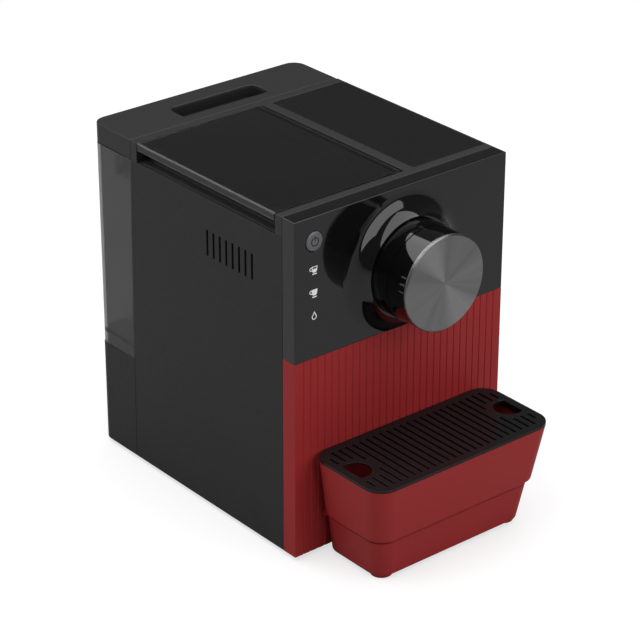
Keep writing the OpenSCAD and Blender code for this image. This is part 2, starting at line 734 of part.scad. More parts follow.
module pump_mounts() color("#2a2a2a") place() for (x = [pump_x[0] + 4, pump_x[1] - 10]) difference() {
    block(x, x + 6, pump_y - 14, pump_y + 14, wall, pump_z);
    xcyl(pump_y, pump_z, x - 1, x + 7, pump_r);
}

module flow_meter() color("#d9d6c4") place() {
    zcyl(valve_x, meter_y, wall, 18, 13);
    zcyl(valve_x, meter_y, 17.99, 24, 3.5);
    xcyl(meter_y, 10, valve_x + 12, valve_x + 19, 3.5);
}

module water_hoses() color("#d6d6d6") place() {
    tube_run([[valve_x, valve_y, dock_h - socket_deep], [valve_x, valve_y, 50], [valve_x, meter_y, 50],
        [valve_x, meter_y, 24]], hose_r);
    tube_run([[valve_x + 19, meter_y, 10], [valve_x + 30, meter_y, 10], [0, pump_y, pump_z],
        [pump_x[0] - 10, pump_y, pump_z]], hose_r);
    tube_run([[pump_x[1] + 6, pump_y, pump_z], [pump_x[1] + 9, pump_y, pump_z],
        [pump_x[1] + 9, meter_y, 60], [60, meter_y, brew_z - 5], [60, meter_y, brew_floor + boiler_z[0]]],
        thin_hose_r);
    tube_run([[50, meter_y, brew_floor + boiler_z[1]], [50, meter_y, brew_top + 14],
        [brew_x, brew_y, brew_top + 14], [brew_x, brew_y, brew_top + 4]], thin_hose_r);
    tube_run([[brew_x - 12, brew_y, brew_top + 4], [brew_x - 12, brew_y, brew_top + 9],
        [18, 24, head_z + 2], [0, 12, head_z], [0, cap_y1, head_z]], thin_hose_r);
}

module control_board() color("#1d4d2b") place() {
    x0 = -in_w;
    board_y = [24, 150];
    board_z = [tray_z + 8, hopper_z0 - 30];
    block(x0 + 3, x0 + 4.6, board_y[0], board_y[1], board_z[0], board_z[1]);
    for (y = [board_y[0] + 6, board_y[1] - 6], z = [board_z[0] + 6, board_z[1] - 6])
        xcyl(y, z, x0, x0 + 3.01, 2);
    block(x0 + 4.6, x0 + 14, 40, 56, tray_z + 14, tray_z + 34);
    block(x0 + 4.6, x0 + 10, 124, 140, tray_z + 20, tray_z + 50);
    block(x0 + 4.6, x0 + 8, 30, 40, board_z[1] - 30, board_z[1] - 6);
}

// Tray and drawer
module drip_tray() color("#8a2a2a") place() difference() {
    union() {
        tub(tray_w / 2, tray_reach, tray_lean, tray_r, -0.4, tray_z0 + 3.5, tray_z - grille_t - 0.1);
        tub(tray_w / 2 - tray_lean, tray_reach - tray_lean, plinth_step, tray_r, -0.4, tray_z0,
            tray_z0 + 3.6);
    }
    tub(tray_w / 2 - tray_wall, tray_reach - tray_wall, tray_lean, tray_r - tray_wall,
        -0.4 - tray_wall, tray_z0 + 6, tray_z);
}

// The grille's slots, shortened where a finger hole is
module grille_slots() {
    last = floor((tray_w / 2 - 6) / rib_pitch);
    front = 6.6 - tray_reach;
    rear = -6.8;
    for (k = [-last : last]) {
        n = last - abs(k);
        x = k * rib_pitch;
        mid = -tray_reach / 2;
        if (n > 3) grille_slot(x, front, rear);
        if (n == 3) {
            grille_slot(x, front, mid - 7);
            grille_slot(x, mid + 7.7, rear);
        }
        if (n == 2 || n == 1) {
            grille_slot(x, front, mid - 14);
            grille_slot(x, mid + 13.7, rear);
        }
        if (n == 0) {
            grille_slot(x, front + 5.6, mid - 15);
            grille_slot(x, mid + 14, rear - 5.8);
        }
    }
}

module grille_slot(x, y0, y1) {
    translate([x - slot_w / 2, y0]) square([slot_w, y1 - y0]);
    for (y = [y0, y1]) translate([x, y]) circle(slot_w / 2, $fn = 24);
}

module finger_hole() intersection() {
    circle(10.2);
    translate([-20, -15]) square([24.2, 30]);
}

module drip_grille() color("#191919") place() {
    back = -0.4;
    difference() {
        translate([0, 0, tray_z - grille_t]) linear_extrude(grille_t)
            round_box(-tray_w / 2, tray_w / 2, -tray_reach, back, tray_r);
        translate([0, 0, tray_z - grille_t - 1]) linear_extrude(grille_t + 2) {
            grille_slots();
            for (s = [-1, 1]) translate([s * (tray_w / 2 - 10.3), -tray_reach / 2]) scale([s, 1])
                finger_hole();
        }
    }
    translate([0, 0, tray_z - grille_t - 4]) linear_extrude(4.01) difference() {
        round_box(-tray_w / 2 + 3.6, tray_w / 2 - 3.6, 3.6 - tray_reach, -4, tray_r - 4);
        round_box(-tray_w / 2 + 4.9, tray_w / 2 - 4.9, 4.9 - tray_reach, -5.3, tray_r - 5.3);
    }
}

module drawer_carrier() color("#2a2a2a") place() difference() {
    block(-drawer_w / 2, drawer_w / 2, -0.4, drawer_len, drawer_z, drawer_z + 2);
    block(-drawer_w / 2 + 12, drawer_w / 2 - 12, 12, drawer_len - 10, drawer_z - 1, drawer_z + 3);
}

module grounds_bin() color("#242424") place() difference() {
    block(-drawer_w / 2 + 2, drawer_w / 2 - 2, 4, drawer_len - 2, drawer_z + 2, bin_top);
    block(-drawer_w / 2 + 4, drawer_w / 2 - 4, 6, drawer_len - 4, drawer_z + 4, bin_top + 1);
}

// Tank
module tank_shape(inset, z0, z1) intersection() {
    along_x(-hw + tank_gap + inset, hw - tank_gap - inset)
        polygon([[seam(z0) + tank_gap + inset, z0], [body_d - inset, z0], [body_d - inset, z1],
            [seam(z1) + tank_gap + inset, z1]]);
    translate([0, 0, z0]) linear_extrude(z1 - z0)
        rear_round(hw - tank_gap - inset, top_back - 5, body_d - inset, rear_r - inset);
}

module water_tank() color("#8c8f92", 0.5) place() difference() {
    union() {
        difference() {
            tank_shape(0, tank_z + 0.1, tank_top);
            tank_shape(tank_wall, tank_floor + tank_wall, tank_top + 1);
            tank_shape(tank_wall, tank_z - 1, tank_floor);
        }
        zcyl(valve_x, valve_y, dock_h - 9, tank_floor + 12, 6.8);
        for (s = [-1, 1], y = [-4.7, 4.7]) translate([s * (hw - tank_gap - tank_wall - 2.5), 0, 0])
            block(-2.6, 2.6, stud_y + y - 0.7, stud_y + y + 0.7, tank_top - 18, tank_top - 4);
    }
    zcyl(valve_x, valve_y, dock_h - 10, tank_floor + 13, 4);
}

module tank_lid() color("#333333") place() {
    front = seam(tank_top) + tank_gap;
    half = hw - tank_gap;
    z0 = tank_top + 0.1;
    difference() {
        translate([0, 0, z0]) linear_extrude(body_h - z0) rear_round(half, front, lid_back, rear_r + 1);
        translate([0, 0, z0 - 1]) linear_extrude(body_h - z0 + 1 - 2.5)
            rear_round(half - 2.2, front + 2.2, lid_back - 2.2, rear_r - 1);
        grip_slot(0);
    }
    difference() {
        grip_slot(2);
        grip_slot(0);
    }
    for (s = [-1, 1]) {
        translate([s * (half - tank_wall - 6), 0, 0])
            block(-1.2, 1.2, stud_y - 3, stud_y + 3, tank_top - 15, body_h - 2.4);
        translate([s * (half - tank_wall - 3), 0, 0]) xcyl(stud_y, tank_top - 13, -1.9, 1.9, 3.4);
    }
}

// The handle recess in the tank lid, or with a wall round it
module grip_slot(w) {
    front = seam(tank_top) + 10.6;
    back = lid_back - 16.6;
    translate([0, 0, body_h - grip_deep - w]) linear_extrude(grip_deep + w + (w > 0 ? 0 : 1)) {
        translate([-grip_w / 2 - w, front - w]) square([grip_w + 2 * w, back - front + w - 6]);
        translate([6 - grip_w / 2, front]) square([grip_w - 12, back - front + w]);
        for (s = [-1, 1]) translate([s * (grip_w / 2 - 6), back - 6]) circle(6 + w);
    }
}

base_plate();
rubber_feet();
side_panel_left();
side_panel_right();
front_panel();
tray_plinth();
fascia();
top_frame();
top_panel_right();
rear_panel();
tank_dock();
tank_socket();
power_inlet();
inlet_pins();
mid_plate();
drawer_guides();
case_screws();
head_collar();
head_barrel();
cap_shell();
cap_disc();
cap_ticks();
coffee_spout();
power_button();
power_symbol();
button_spring();
touch_icons();
touch_board();
hopper_lid();
lid_hinge_pins();
bean_hopper();
hopper_seal();
grind_dial();
grinder_body();
upper_burr();
lower_burr();
grinder_shaft();
grinder_motor();
grounds_chute();
brew_frame();
brew_chamber();
lower_piston();
upper_piston();
piston_seal();
lead_screw();
screw_gear();
motor_pinion();
brew_motor();
thermoblock();
pump();
pump_mounts();
flow_meter();
water_hoses();
control_board();
drip_tray();
drip_grille();
drawer_carrier();
grounds_bin();
water_tank();
tank_lid();
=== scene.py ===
import json
import math
import bpy
import bmesh
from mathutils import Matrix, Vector


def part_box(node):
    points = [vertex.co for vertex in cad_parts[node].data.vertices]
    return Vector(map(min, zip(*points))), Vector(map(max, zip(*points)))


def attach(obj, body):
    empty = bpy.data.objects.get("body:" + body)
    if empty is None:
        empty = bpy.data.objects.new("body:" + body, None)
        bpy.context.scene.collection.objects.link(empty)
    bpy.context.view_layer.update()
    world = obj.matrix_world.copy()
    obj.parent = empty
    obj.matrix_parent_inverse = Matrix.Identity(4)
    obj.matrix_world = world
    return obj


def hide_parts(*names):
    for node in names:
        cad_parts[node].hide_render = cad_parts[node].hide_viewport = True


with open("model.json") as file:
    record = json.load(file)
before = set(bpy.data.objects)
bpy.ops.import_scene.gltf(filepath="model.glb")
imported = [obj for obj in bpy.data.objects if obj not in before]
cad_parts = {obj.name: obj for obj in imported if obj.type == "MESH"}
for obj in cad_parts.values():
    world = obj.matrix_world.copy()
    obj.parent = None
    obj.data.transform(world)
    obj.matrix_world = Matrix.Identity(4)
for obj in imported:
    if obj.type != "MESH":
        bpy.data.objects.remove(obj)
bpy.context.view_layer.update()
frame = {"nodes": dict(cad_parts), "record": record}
mm = 0.001
print("frame loaded:", len(frame["nodes"]), "nodes")

# ---- camera
cameraLook = {
    "place": (-0.9985, -1.1964, 0.9008),
    "turn": (63.4245, -0.0985, -39.6074),  # degrees about x, y and z
    "lens": 143.98,
}
cameraData = bpy.data.cameras.new("Camera")
cameraData.lens = cameraLook["lens"]
cameraData.sensor_width = 36
cameraData.clip_start, cameraData.clip_end = 0.05, 40
camera = bpy.data.objects.new("Camera", cameraData)
camera.location = cameraLook["place"]
camera.rotation_euler = [math.radians(a) for a in cameraLook["turn"]]
bpy.context.scene.collection.objects.link(camera)
bpy.context.scene.camera = camera

# ---- materials
def addNode(tree, kind, **settings):
    node = tree.nodes.new("ShaderNode" + kind)
    for key, value in settings.items():
        if key in node.inputs:
            node.inputs[key].default_value = value
        else:
            setattr(node, key, value)
    return node


def startMaterial(name, look):
    material = bpy.data.materials.new(name)
    material.use_nodes = True
    material.diffuse_color = (*look["colour"], 1)
    tree = material.node_tree
    shader = tree.nodes["Principled BSDF"]
    shader.inputs["Base Color"].default_value = (*look["colour"], 1)
    shader.inputs["Metallic"].default_value = look.get("metallic", 0)
    shader.inputs["Specular IOR Level"].default_value = look.get("specular", 0.5)
    shader.inputs["Coat Weight"].default_value = look.get("coat", 0)
    shader.inputs["Coat Roughness"].default_value = look.get("coatRoughness", 0.03)
    shader.inputs["IOR"].default_value = look.get("ior", 1.5)
    return material, tree, shader, addNode(tree, "TexCoord").outputs["Object"]


def varied(tree, where, scale, low, high, detail=4):
    # a noise stretched between two values
    noise = addNode(tree, "TexNoise", Scale=scale, Detail=detail, Roughness=0.6)
    tree.links.new(where, noise.inputs["Vector"])
    spread = addNode(tree, "MapRange", **{"From Min": 0.3, "From Max": 0.7, "To Min": low, "To Max": high})
    tree.links.new(noise.outputs["Fac"], spread.inputs["Value"])
    return spread.outputs["Result"]


def tinted(tree, factor, colour, mottle):
    mix = addNode(tree, "Mix", data_type="RGBA")
    mix.inputs["A"].default_value = (*[c * (1 - mottle) for c in colour], 1)
    mix.inputs["B"].default_value = (*[c * (1 + mottle) for c in colour], 1)
    tree.links.new(factor, mix.inputs["Factor"])
    return mix.outputs["Result"]


def bumped(tree, shader, height, strength, distance):
    # gives the surface a relief
    bump = addNode(tree, "Bump", Strength=strength, Distance=distance)
    tree.links.new(height, bump.inputs["Height"])
    tree.links.new(bump.outputs["Normal"], shader.inputs["Normal"])


def sheenRange(look):
    return look["roughness"] - look["spread"], look["roughness"] + look["spread"]


# how many times each pattern repeats in a metre
patternScales = {"flowMarks": 14, "glossPatches": 9, "glossWaves": 25, "wallHaze": 60, "wallTint": 20,
    "wallWaves": 40, "metalPatches": 45, "boardTracks": 160, "boardSheen": 200}


def mouldedPlastic(name, look):
    # moulded texture as bump, faint flow marks in the colour, uneven sheen
    material, tree, shader, where = startMaterial(name, look)
    broad = varied(tree, where, patternScales["flowMarks"], 0, 1)
    tree.links.new(tinted(tree, broad, look["colour"], look["mottle"]), shader.inputs["Base Color"])
    middle = varied(tree, where, 0.35 / look["grain"], *sheenRange(look))
    tree.links.new(middle, shader.inputs["Roughness"])
    fine = addNode(tree, "TexNoise", Scale=1 / look["grain"], Detail=3, Roughness=0.5)
    tree.links.new(where, fine.inputs["Vector"])
    bumped(tree, shader, fine.outputs["Fac"], look["bump"], look["grain"] * 0.12)
    return material


def glossPlastic(name, look):
    # piano gloss: a slow waviness and faint wipe marks in the roughness
    material, tree, shader, where = startMaterial(name, look)
    broad = varied(tree, where, patternScales["glossPatches"], 0, 1)
    tree.links.new(tinted(tree, broad, look["colour"], look["mottle"]), shader.inputs["Base Color"])
    stretched = addNode(tree, "Mapping")
    stretched.inputs["Rotation"].default_value = (0.3, 0.5, 0.7)
    stretched.inputs["Scale"].default_value = (60, 900, 900)
    tree.links.new(where, stretched.inputs["Vector"])
    wiped = varied(tree, stretched.outputs["Vector"], 1, *sheenRange(look), 2)
    tree.links.new(wiped, shader.inputs["Roughness"])
    slow = addNode(tree, "TexNoise", Scale=patternScales["glossWaves"], Detail=1)
    tree.links.new(where, slow.inputs["Vector"])
    bumped(tree, shader, slow.outputs["Fac"], look["wave"], 0.0004)
    return material


def clearPlastic(name, look):
    # tinted clear wall with faint moulding haze; lamps shine through it to what is inside
    material, tree, shader, where = startMaterial(name, look)
    shader.inputs["Transmission Weight"].default_value = 1
    haze = varied(tree, where, patternScales["wallHaze"], look["roughness"] * 0.4, look["roughness"] * 1.6)
    tree.links.new(haze, shader.inputs["Roughness"])
    broad = varied(tree, where, patternScales["wallTint"], 0, 1)
    tint = tinted(tree, broad, look["colour"], look["mottle"])
    tree.links.new(tint, shader.inputs["Base Color"])
    lampTint = addNode(tree, "BsdfTransparent", Color=(*[c ** 0.5 for c in look["colour"]], 1))
    rays = addNode(tree, "LightPath")
    either = addNode(tree, "MixShader")
    tree.links.new(rays.outputs["Is Shadow Ray"], either.inputs[0])
    tree.links.new(shader.outputs[0], either.inputs[1])
    tree.links.new(lampTint.outputs[0], either.inputs[2])
    tree.links.new(either.outputs[0], tree.nodes["Material Output"].inputs["Surface"])
    slow = addNode(tree, "TexNoise", Scale=patternScales["wallWaves"], Detail=1)
    tree.links.new(where, slow.inputs["Vector"])
    bumped(tree, shader, slow.outputs["Fac"], 0.02, 0.0003)
    return material


def machinedMetal(name, look):
    # tool marks along one direction, with duller patches
    material, tree, shader, where = startMaterial(name, look)
    along = addNode(tree, "Mapping")
    along.inputs["Scale"].default_value = look["marks"]
    tree.links.new(where, along.inputs["Vector"])
    lines = varied(tree, along.outputs["Vector"], 1, 0, 1, 5)
    tree.links.new(tinted(tree, lines, look["colour"], look["mottle"]), shader.inputs["Base Color"])
    patches = varied(tree, where, patternScales["metalPatches"], *sheenRange(look))
    tree.links.new(patches, shader.inputs["Roughness"])
    bumped(tree, shader, lines, look["bump"], 0.00008)
    return material


def brushedDisc(name, look, middle):
    # rings turned into the face, and a painted sheen: lighter and darker wedges in the colour fan out from
    # the middle
    material, tree, shader, where = startMaterial(name, look)
    centred = addNode(tree, "Mapping")
    centred.inputs["Location"].default_value = (-middle.x, 0, -middle.z)
    centred.inputs["Scale"].default_value = (1, 0, 1)
    tree.links.new(where, centred.inputs["Vector"])
    radius = addNode(tree, "VectorMath", operation="LENGTH")
    tree.links.new(centred.outputs["Vector"], radius.inputs[0])
    scaled = addNode(tree, "Math", operation="MULTIPLY")
    scaled.inputs[1].default_value = 1 / look["ringWidth"]
    tree.links.new(radius.outputs["Value"], scaled.inputs[0])
    rings = addNode(tree, "TexNoise", noise_dimensions="1D", Scale=1, Detail=4, Roughness=0.7)
    tree.links.new(scaled.outputs["Value"], rings.inputs["W"])
    direction = addNode(tree, "VectorMath", operation="NORMALIZE")
    tree.links.new(centred.outputs["Vector"], direction.inputs[0])
    # painted sheen: lighter and darker wedges by angle around the middle, painted into the base colour
    paintedSheen = varied(tree, direction.outputs["Vector"], look["paintedSheenScale"], 0, 1, 3)
    both = addNode(tree, "Math", operation="MULTIPLY_ADD")
    both.inputs[1].default_value = look["paintedSheenShare"]
    tree.links.new(paintedSheen, both.inputs[0])
    part = addNode(tree, "Math", operation="MULTIPLY")
    part.inputs[1].default_value = 1 - look["paintedSheenShare"]
    tree.links.new(rings.outputs["Fac"], part.inputs[0])
    tree.links.new(part.outputs["Value"], both.inputs[2])
    tint = tinted(tree, both.outputs["Value"], look["colour"], look["mottle"])
    tree.links.new(tint, shader.inputs["Base Color"])
    smoothest, dullest = sheenRange(look)
    rough = addNode(tree, "MapRange", **{"To Min": smoothest, "To Max": dullest})
    tree.links.new(rings.outputs["Fac"], rough.inputs["Value"])
    tree.links.new(rough.outputs["Result"], shader.inputs["Roughness"])
    shader.inputs["Anisotropic"].default_value = look["anisotropic"]
    tangent = addNode(tree, "Tangent", direction_type="UV_MAP", uv_map="discUv")
    tree.links.new(tangent.outputs["Tangent"], shader.inputs["Tangent"])
    bumped(tree, shader, rings.outputs["Fac"], look["bump"], 0.00003)
    return material


def circuitBoard(name, look):
    # copper tracks under green lacquer
    material, tree, shader, where = startMaterial(name, look)
    cells = addNode(tree, "TexBrick", Scale=1, offset=0.5)
    cells.inputs["Color1"].default_value = (*look["colour"], 1)
    cells.inputs["Color2"].default_value = (*[c * 0.8 for c in look["colour"]], 1)
    cells.inputs["Mortar"].default_value = (*look["track"], 1)
    cells.inputs["Mortar Size"].default_value = 0.035
    cells.inputs["Brick Width"].default_value = 1.3
    cells.inputs["Row Height"].default_value = 0.6
    spread = addNode(tree, "Mapping")
    spread.inputs["Rotation"].default_value = look["turn"]
    spread.inputs["Scale"].default_value = [patternScales["boardTracks"]] * 3
    tree.links.new(where, spread.inputs["Vector"])
    tree.links.new(spread.outputs["Vector"], cells.inputs["Vector"])
    tree.links.new(cells.outputs["Color"], shader.inputs["Base Color"])
    tree.links.new(varied(tree, where, patternScales["boardSheen"], 0.25, 0.45), shader.inputs["Roughness"])
    bumped(tree, shader, cells.outputs["Fac"], 0.4, 0.00004)
    return material


plasticLooks = {
    "blackShell": {"colour": (0.0115, 0.0115, 0.0118), "roughness": 0.52, "spread": 0.05, "grain": 0.0006,
        "bump": 0.35, "mottle": 0.06, "specular": 0.3},
    "frameBlack": {"colour": (0.014, 0.014, 0.0142), "roughness": 0.45, "spread": 0.05, "grain": 0.0005,
        "bump": 0.3, "mottle": 0.06, "specular": 0.35},
    "panelDark": {"colour": (0.006, 0.006, 0.0062), "roughness": 0.28, "spread": 0.04, "grain": 0.0004,
        "bump": 0.15, "mottle": 0.08, "specular": 0.2},
    "redShell": {"colour": (0.285, 0.0205, 0.0215), "roughness": 0.46, "spread": 0.04, "grain": 0.0006,
        "bump": 0.3, "mottle": 0.035, "specular": 0.15},
    "buttonGrey": {"colour": (0.105, 0.105, 0.11), "roughness": 0.33, "spread": 0.04, "grain": 0.0004,
        "bump": 0.15, "mottle": 0.05, "specular": 0.5},
    # the hopper: the dark panels' plastic, painted lighter as painted light in the shade under the lid's
    # overhang
    "hopperGrey": {"colour": (0.024, 0.024, 0.0245), "roughness": 0.42, "spread": 0.05, "grain": 0.0005,
        "bump": 0.25, "mottle": 0.08, "specular": 0.35},
    "tickPrint": {"colour": (0.05, 0.05, 0.05), "roughness": 0.5, "spread": 0.05, "grain": 0.0003,
        "bump": 0.2, "mottle": 0.05, "specular": 0.3},
    "whitePrint": {"colour": (0.76, 0.76, 0.75), "roughness": 0.5, "spread": 0.05, "grain": 0.0003,
        "bump": 0.2, "mottle": 0.03, "specular": 0.4},
    "trayInner": {"colour": (0.012, 0.012, 0.012), "roughness": 0.5, "spread": 0.06, "grain": 0.0006,
        "bump": 0.3, "mottle": 0.08, "specular": 0.35},
    "footRubber": {"colour": (0.013, 0.013, 0.013), "roughness": 0.78, "spread": 0.07, "grain": 0.0004,
        "bump": 0.5, "mottle": 0.15, "specular": 0.25},
    "hoseSilicone": {"colour": (0.6, 0.6, 0.57), "roughness": 0.42, "spread": 0.06, "grain": 0.0006,
        "bump": 0.2, "mottle": 0.05, "specular": 0.4},
    "sealRubber": {"colour": (0.16, 0.03, 0.02), "roughness": 0.6, "spread": 0.06, "grain": 0.0003,
        "bump": 0.3, "mottle": 0.1, "specular": 0.35},
    "whitePlastic": {"colour": (0.7, 0.67, 0.57), "roughness": 0.45, "spread": 0.05, "grain": 0.0005,
        "bump": 0.25, "mottle": 0.04, "specular": 0.45},
}
glossLooks = {
    "fasciaGloss": {"colour": (0.0042, 0.0042, 0.0044), "roughness": 0.06, "spread": 0.02, "wave": 0.03,
        "mottle": 0.05, "specular": 0.5},
    "headGloss": {"colour": (0.003, 0.003, 0.0032), "roughness": 0.05, "spread": 0.02, "wave": 0.02,
        "mottle": 0.05, "specular": 0.5},
    "grilleGloss": {"colour": (0.009, 0.009, 0.0092), "roughness": 0.16, "spread": 0.04, "wave": 0.05,
        "mottle": 0.08, "specular": 0.2},
}
clearLooks = {
    "smokedClear": {"colour": (0.075, 0.075, 0.076), "roughness": 0.05, "mottle": 0.03, "ior": 1.46},
    "tankClear": {"colour": (0.155, 0.155, 0.157), "roughness": 0.015, "mottle": 0.03, "ior": 1.46},
}
metalLooks = {
    "steelPart": {"colour": (0.5, 0.5, 0.5), "metallic": 1, "roughness": 0.32, "spread": 0.08,
        "marks": (90, 90, 2600), "mottle": 0.12, "bump": 0.3},
    "springSteel": {"colour": (0.42, 0.42, 0.43), "metallic": 1, "roughness": 0.28, "spread": 0.06,
        "marks": (1800, 1800, 1800), "mottle": 0.12, "bump": 0.2},
    "brassGear": {"colour": (0.56, 0.38, 0.14), "metallic": 1, "roughness": 0.34, "spread": 0.08,
        "marks": (400, 400, 3200), "mottle": 0.1, "bump": 0.3},
    "motorCan": {"colour": (0.16, 0.16, 0.165), "metallic": 1, "roughness": 0.42, "spread": 0.08,
        "marks": (300, 300, 1200), "mottle": 0.15, "bump": 0.25},
    "castBlock": {"colour": (0.42, 0.43, 0.44), "metallic": 1, "roughness": 0.5, "spread": 0.1,
        "marks": (700, 700, 700), "mottle": 0.15, "bump": 0.8},
}
finishes = {}
for title, look in plasticLooks.items():
    finishes[title] = mouldedPlastic(title, look)
for title, look in glossLooks.items():
    finishes[title] = glossPlastic(title, look)
for title, look in clearLooks.items():
    finishes[title] = clearPlastic(title, look)
for title, look in metalLooks.items():
    finishes[title] = machinedMetal(title, look)
boardLook = {"colour": (0.012, 0.08, 0.03), "track": (0.05, 0.17, 0.06)}
for title, turn in (("circuitGreen", (0, math.pi / 2, 0)), ("circuitFlat", (math.pi / 2, 0, 0))):
    finishes[title] = circuitBoard(title, {**boardLook, "turn": turn})
print("finishes made:", len(finishes))

# ---- shared ways of making pieces
weldGap = 0.003 * mm
smoothBelow, roundAbove, flatWithin = 35, 25, 0.6  # degrees between two faces


def slotFor(finish):
    # the part's own material name; the hopper shares the dark panels' one, its colour painted lighter as
    # painted light on the walls shaded under the lid
    if finish == "hopperGrey":
        return "panel_dark"
    return "".join("_" + letter.lower() if letter.isupper() else letter for letter in finish)


def finishPiece(bm, name, finish, body, nodes=()):
    mesh = bpy.data.meshes.new(name)
    bm.to_mesh(mesh)
    bm.free()
    mesh.shade_smooth()
    mesh.set_sharp_from_angle(angle=math.radians(smoothBelow))
    mesh.materials.append(finishes[finish])
    piece = bpy.data.objects.new(name, mesh)
    bpy.context.scene.collection.objects.link(piece)
    even = piece.modifiers.new("evenShading", "WEIGHTED_NORMAL")
    even.keep_sharp = True
    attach(piece, body)
    slotFor(finish)
    if nodes:
        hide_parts(*nodes)
    return piece


def roundEdges(bm, width, segments, wanted=None):
    # rounds the sharp edges whose middles are wanted
    edges = [e for e in bm.edges if e.is_manifold and math.degrees(e.calc_face_angle(0)) > roundAbove
        and (wanted is None or wanted((e.verts[0].co + e.verts[1].co) / 2))]
    if edges:
        bmesh.ops.bevel(bm, geom=edges, offset=width, offset_type="OFFSET", segments=segments, profile=0.5,
            affect="EDGES", clamp_overlap=False, material=-1)


def copied(node):
    # a CAD node's shape with its flat faces whole
    bm = bmesh.new()
    bm.from_mesh(frame["nodes"][node].data)
    bmesh.ops.remove_doubles(bm, verts=bm.verts, dist=weldGap)
    bmesh.ops.dissolve_limit(bm, angle_limit=math.radians(flatWithin), use_dissolve_boundaries=False,
        verts=bm.verts, edges=bm.edges, delimit=set())
    return bm


def softened(node, name, finish, width, segments=3, wanted=None, fineWidth=0):
    # a copy of a CAD node with its hard edges rounded, and finely where they aren't wanted
    bm = copied(node)
    if fineWidth and wanted is not None:
        roundEdges(bm, fineWidth, 2, lambda p: not wanted(p))
    roundEdges(bm, width, segments, wanted)
    return finishPiece(bm, name, finish, bodyOf[node], [node])


def turned(name, profile, middle, axis, steps, finish, body, nodes=(), width=0, segments=3, closed=True):
    # spins a profile of (radius, height along the axis); without a finish it gives the bmesh back
    bm = bmesh.new()
    spots = {"x": lambda r, h: (h, middle.y + r, middle.z), "y": lambda r, h: (middle.x + r, h, middle.z)}
    points = [bm.verts.new(spots[axis](r, h)) for r, h in profile]
    pairs = list(zip(points, points[1:])) + ([(points[-1], points[0])] if closed else [])
    edges = [bm.edges.new(pair) for pair in pairs]
    bmesh.ops.spin(bm, geom=points + edges, cent=middle, axis=[axis == k for k in "xyz"],
        dvec=(0, 0, 0), angle=2 * math.pi, steps=steps, use_merge=True, use_normal_flip=False,
        use_duplicate=False)
    bmesh.ops.remove_doubles(bm, verts=bm.verts, dist=weldGap)
    bmesh.ops.recalc_face_normals(bm, faces=bm.faces)
    if width:
        roundEdges(bm, width, segments)
    return bm if finish is None else finishPiece(bm, name, finish, body, nodes)


def middleOf(node):
    low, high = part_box(node)
    return (low + high) / 2


bodyOf = {n: body for body, members in frame["record"]["behaviour"]["bodies"].items() for n in members}
housingLow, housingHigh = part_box("side_panel_left")[0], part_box("side_panel_right")[1]

# ---- housing shells
shellSizes = {"seam": 0.45 * mm, "vent": 0.2 * mm, "margin": 4 * mm, "plain": 0.3 * mm, "panel": 0.35 * mm}
side = abs(housingLow.x)


def onPanelRim(p):
    # the outline of a side panel, away from its vents
    return min(p.y - housingLow.y, housingHigh.y - p.y, p.z - housingLow.z, housingHigh.z - p.z) \
        < shellSizes["margin"]


for node, name in (("side_panel_left", "sidePanelLeft"), ("side_panel_right", "sidePanelRight")):
    softened(node, name, "blackShell", shellSizes["seam"], 3, onPanelRim, shellSizes["vent"])
softened("tank_dock", "tankDock", "blackShell", shellSizes["seam"], 3)
softened("base_plate", "basePlate", "blackShell", shellSizes["plain"], 2)
softened("rear_panel", "rearPanel", "blackShell", shellSizes["plain"], 2)
softened("top_frame", "topFrame", "frameBlack", shellSizes["seam"], 3)
softened("top_panel_right", "topPanelRight", "panelDark", shellSizes["panel"], 3)
print("housing shells made")

# ---- ribbed front and glossy fascia
frontSizes = {"edge": 0.3 * mm, "grooveLip": 0.12 * mm, "sideBand": 0.8 * mm, "endBand": 0.4 * mm,
    "fascia": 0.45 * mm}
frontLow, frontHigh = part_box("front_panel")


def frontOutline(p):
    # the panel's outer edges, not those of its ribs
    return abs(p.x) > side - frontSizes["sideBand"] or p.z < frontLow.z + frontSizes["endBand"] \
        or p.z > frontHigh.z - frontSizes["endBand"]


softened("front_panel", "ribbedFront", "redShell", frontSizes["edge"], 3, frontOutline,
    frontSizes["grooveLip"])
softened("fascia", "fasciaPanel", "fasciaGloss", frontSizes["fascia"], 3)
print("front made")

# ---- brewing head
headSizes = {"steps": 160, "flareSteps": 12, "flareBunching": 1.6, "wall": 4 * mm, "barrelOver": 0.5 * mm,
    "groove": 0.7 * mm, "grooveFloor": 1.2 * mm, "grooveEnd": 1.6 * mm, "capEdge": 0.06 * mm, "rim": 0.7 * mm,
    "discEdge": 0.18 * mm, "spoutEdge": 0.3 * mm}
collarLow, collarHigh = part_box("head_collar")
barrelLow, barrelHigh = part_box("head_barrel")
discLow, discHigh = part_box("cap_disc")
axisPoint = Vector((0, 0, (discLow.z + discHigh.z) / 2))
collarRadius = (collarHigh.x - collarLow.x) / 2
discRadius = (discHigh.x - discLow.x) / 2
barrelRadius = discRadius + headSizes["barrelOver"]
inner = barrelRadius - headSizes["wall"]
# the collar is the first part of a hollow round, whose end would meet the barrel
flareRadius = collarRadius - barrelRadius
collarLength = collarHigh.y - collarLow.y


def flarePoint(depth):
    drop = math.sqrt(flareRadius ** 2 - (flareRadius - depth) ** 2)
    return (collarRadius - drop, collarHigh.y - depth)


collarProfile = [(inner, collarHigh.y), (collarRadius, collarHigh.y)] \
    + [flarePoint(collarLength * (k / headSizes["flareSteps"]) ** headSizes["flareBunching"])
        for k in range(1, headSizes["flareSteps"] + 1)] \
    + [(inner, collarLow.y)]
bm = turned("headCollar", collarProfile, axisPoint, "y", headSizes["steps"], None, None)
